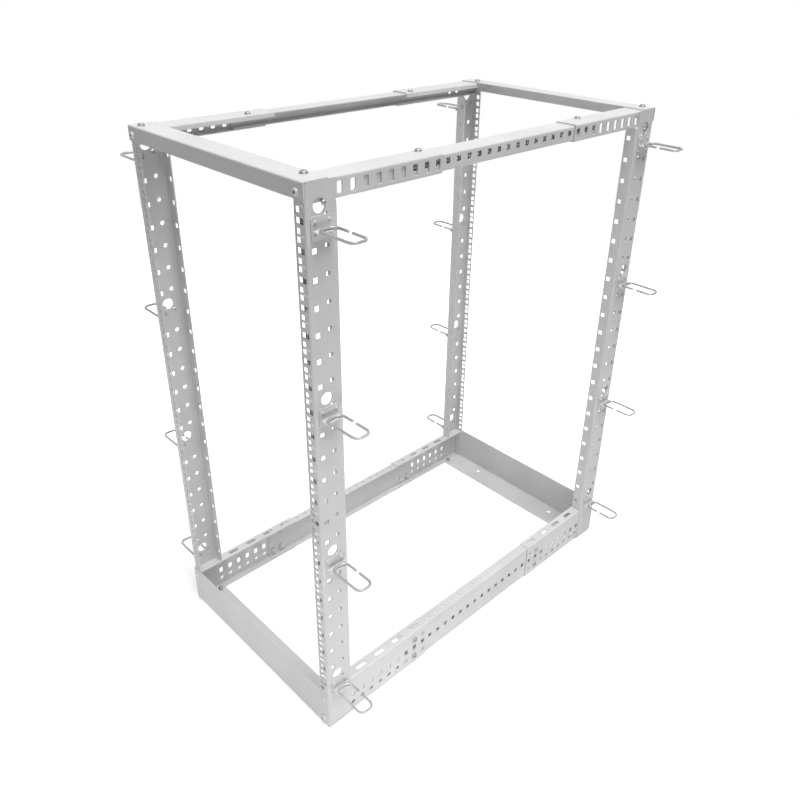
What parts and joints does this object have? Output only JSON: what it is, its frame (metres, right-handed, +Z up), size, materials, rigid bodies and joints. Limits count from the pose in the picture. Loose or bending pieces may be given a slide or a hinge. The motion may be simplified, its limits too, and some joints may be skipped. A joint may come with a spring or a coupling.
{
  "type": "four post open frame rack",
  "caption": "Open frame equipment rack on four punched posts, with telescoping depth rails at the top and base, two floor beams, two top bars and wire cable rings along the sides.",
  "frame": {"origin": "on the floor under the centre of the frame", "axes": "+X to the right seen from the front, +Y towards the rear, +Z up"},
  "size_m": [0.678, 0.907, 1.109],
  "materials": {
    "frame_finish": "light grey satin powder coat on folded sheet steel",
    "ring_finish": "plated steel wire and plates"
  },
  "bodies": {
    "root": {"front_right_post": "frame_finish", "front_right_post_rack_flange": "frame_finish", "front_right_post_inner_flange": "frame_finish", "front_right_top_sleeve": "frame_finish", "front_right_bottom_sleeve": "frame_finish", "front_left_post": "frame_finish", "front_left_post_rack_flange": "frame_finish", "front_left_post_inner_flange": "frame_finish", "front_left_top_sleeve": "frame_finish", "front_left_bottom_sleeve": "frame_finish", "rear_right_post": "frame_finish", "rear_right_post_rack_flange": "frame_finish", "rear_right_post_inner_flange": "frame_finish", "rear_right_top_sleeve": "frame_finish", "rear_right_bottom_sleeve": "frame_finish", "rear_left_post": "frame_finish", "rear_left_post_rack_flange": "frame_finish", "rear_left_post_inner_flange": "frame_finish", "rear_left_top_sleeve": "frame_finish", "rear_left_bottom_sleeve": "frame_finish", "right_top_middle_rail": "frame_finish", "left_top_middle_rail": "frame_finish", "right_bottom_middle_rail": "frame_finish", "left_bottom_middle_rail": "frame_finish", "top_front_bar": "frame_finish", "top_rear_bar": "frame_finish", "base_front_beam": "frame_finish", "base_rear_beam": "frame_finish", "front_right_cable_ring_1": "ring_finish", "front_right_cable_ring_2": "ring_finish", "front_right_cable_ring_3": "ring_finish", "front_right_cable_ring_4": "ring_finish", "front_left_cable_ring_1": "ring_finish", "front_left_cable_ring_2": "ring_finish", "front_left_cable_ring_3": "ring_finish", "front_left_cable_ring_4": "ring_finish", "rear_right_cable_ring_1": "ring_finish", "rear_right_cable_ring_2": "ring_finish", "rear_right_cable_ring_3": "ring_finish", "rear_right_cable_ring_4": "ring_finish", "rear_left_cable_ring_1": "ring_finish", "rear_left_cable_ring_2": "ring_finish", "rear_left_cable_ring_3": "ring_finish", "rear_left_cable_ring_4": "ring_finish"}
  },
  "joints": []
}
